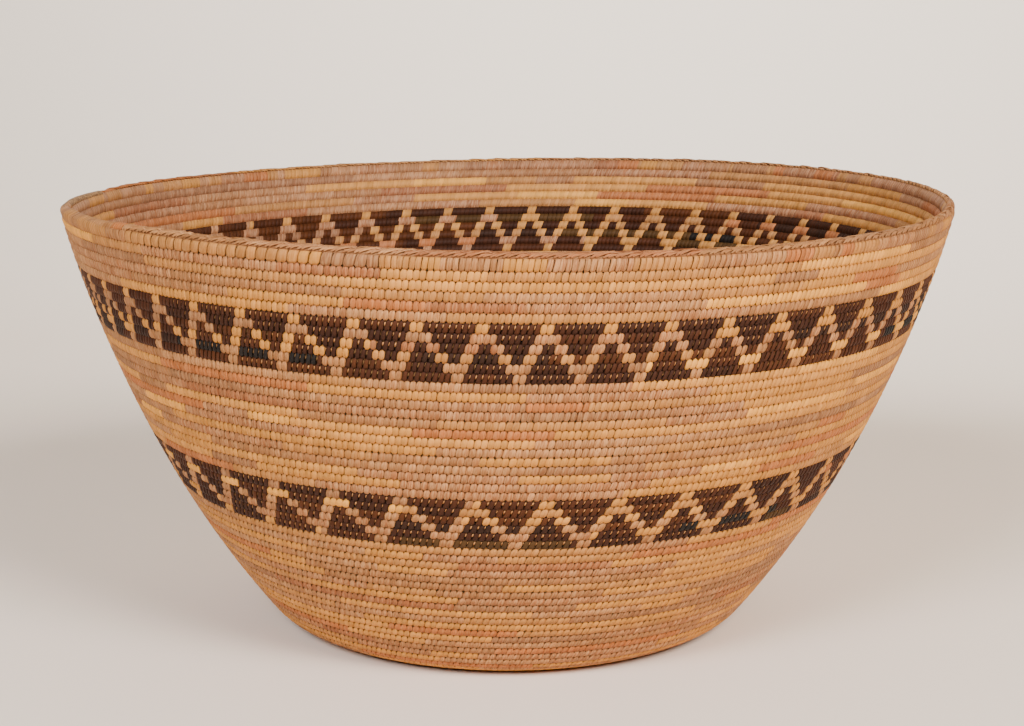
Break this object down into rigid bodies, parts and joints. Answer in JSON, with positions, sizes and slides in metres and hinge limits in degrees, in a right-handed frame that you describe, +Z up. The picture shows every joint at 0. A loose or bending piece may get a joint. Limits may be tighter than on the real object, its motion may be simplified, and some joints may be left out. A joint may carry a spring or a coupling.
{
  "type": "coiled basket bowl",
  "caption": "Wide flaring open bowl wound as a continuous spiral coil sewn with split root, with dark triangle bands round the wall and a braided rim; it stands on its flat base.",
  "frame": {"origin": "the centre of the underside of the flat base, where the coil starts", "axes": "+Z up along the bowl's axis, from the base to the rim; -Y is the side that the picture was taken from, and +X is to its right; the ends of the lengths of coil lie 170 degrees round from +X, at the back left"},
  "size_m": [0.4271, 0.4271, 0.2088],
  "materials": {
    "light_root": "matte",
    "dark_root": "matte",
    "rim_root": "matte"
  },
  "bodies": {
    "root": {"start_knot": "light_root", "inner_base_coils": "light_root", "outer_base_coils": "light_root", "heel_coils": "light_root", "lower_wall_coils_1": "light_root", "lower_wall_coils_2": "light_root", "lower_wall_coils_3": "light_root", "lower_band_turn_1": "dark_root", "lower_band_turn_2": "dark_root", "lower_band_turn_3": "dark_root", "lower_band_turn_4": "dark_root", "lower_band_turn_5": "dark_root", "lower_band_turn_6": "dark_root", "middle_wall_coils_1": "light_root", "middle_wall_coils_2": "light_root", "middle_wall_coils_3": "light_root", "upper_band_turn_1": "dark_root", "upper_band_turn_2": "dark_root", "upper_band_turn_3": "dark_root", "upper_band_turn_4": "dark_root", "upper_band_turn_5": "dark_root", "upper_band_turn_6": "dark_root", "upper_wall_coils": "light_root", "rim_coil": "rim_root", "rim_braid": "rim_root"}
  },
  "joints": []
}
